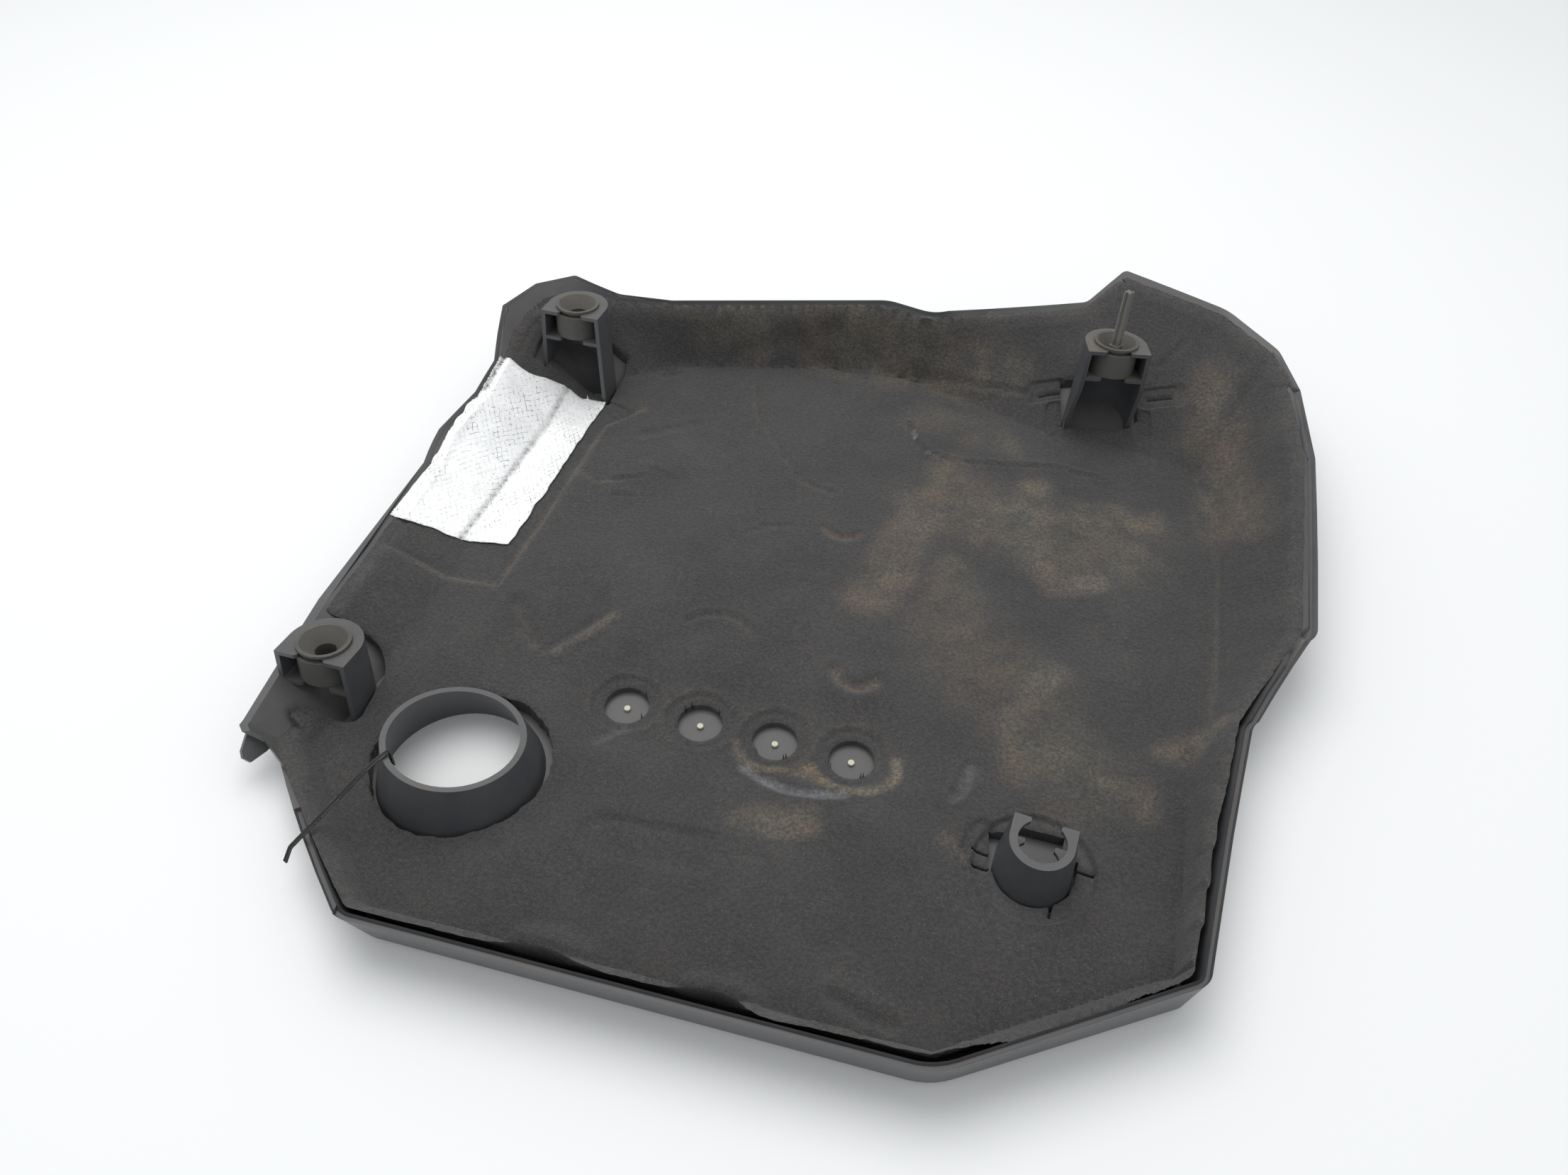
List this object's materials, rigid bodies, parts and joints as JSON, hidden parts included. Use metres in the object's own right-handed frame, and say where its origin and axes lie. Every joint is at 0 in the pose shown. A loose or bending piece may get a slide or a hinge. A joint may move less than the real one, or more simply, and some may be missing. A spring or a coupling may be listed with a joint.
{
  "type": "engine cover",
  "caption": "Moulded engine cover lying lined side up: dished plastic shell with a pressed foam liner, foil heat patch, rubber push-fit sockets and an oil-filler collar.",
  "frame": {"origin": "centre of the part's plan box, on the flat outer face that it lies on", "axes": "+Z from the outer face to the lined underside, X along the row of round windows, +Y to the back"},
  "size_m": [0.484, 0.5235, 0.1021],
  "materials": {
    "shell_plastic": "satin moulded plastic, scuffed lighter along its edges",
    "liner_foam": "charcoal felted foam with brown dust and pressed marks",
    "foil": "bright foil with a fine diamond emboss",
    "grommet_rubber": "dull dark rubber",
    "stud_plastic": "dull dark plastic",
    "pin_plastic": "pale cream plastic",
    "tie_plastic": "black nylon with a pale worn end"
  },
  "bodies": {
    "root": {"cover_shell": "shell_plastic", "foam_liner": "liner_foam", "foil_shield": "foil", "grommet_back_left": "grommet_rubber", "grommet_back_right": "grommet_rubber", "grommet_front_left": "grommet_rubber", "stud_pin": "stud_plastic", "badge_pins": "pin_plastic", "cable_tie": "tie_plastic"}
  },
  "joints": []
}
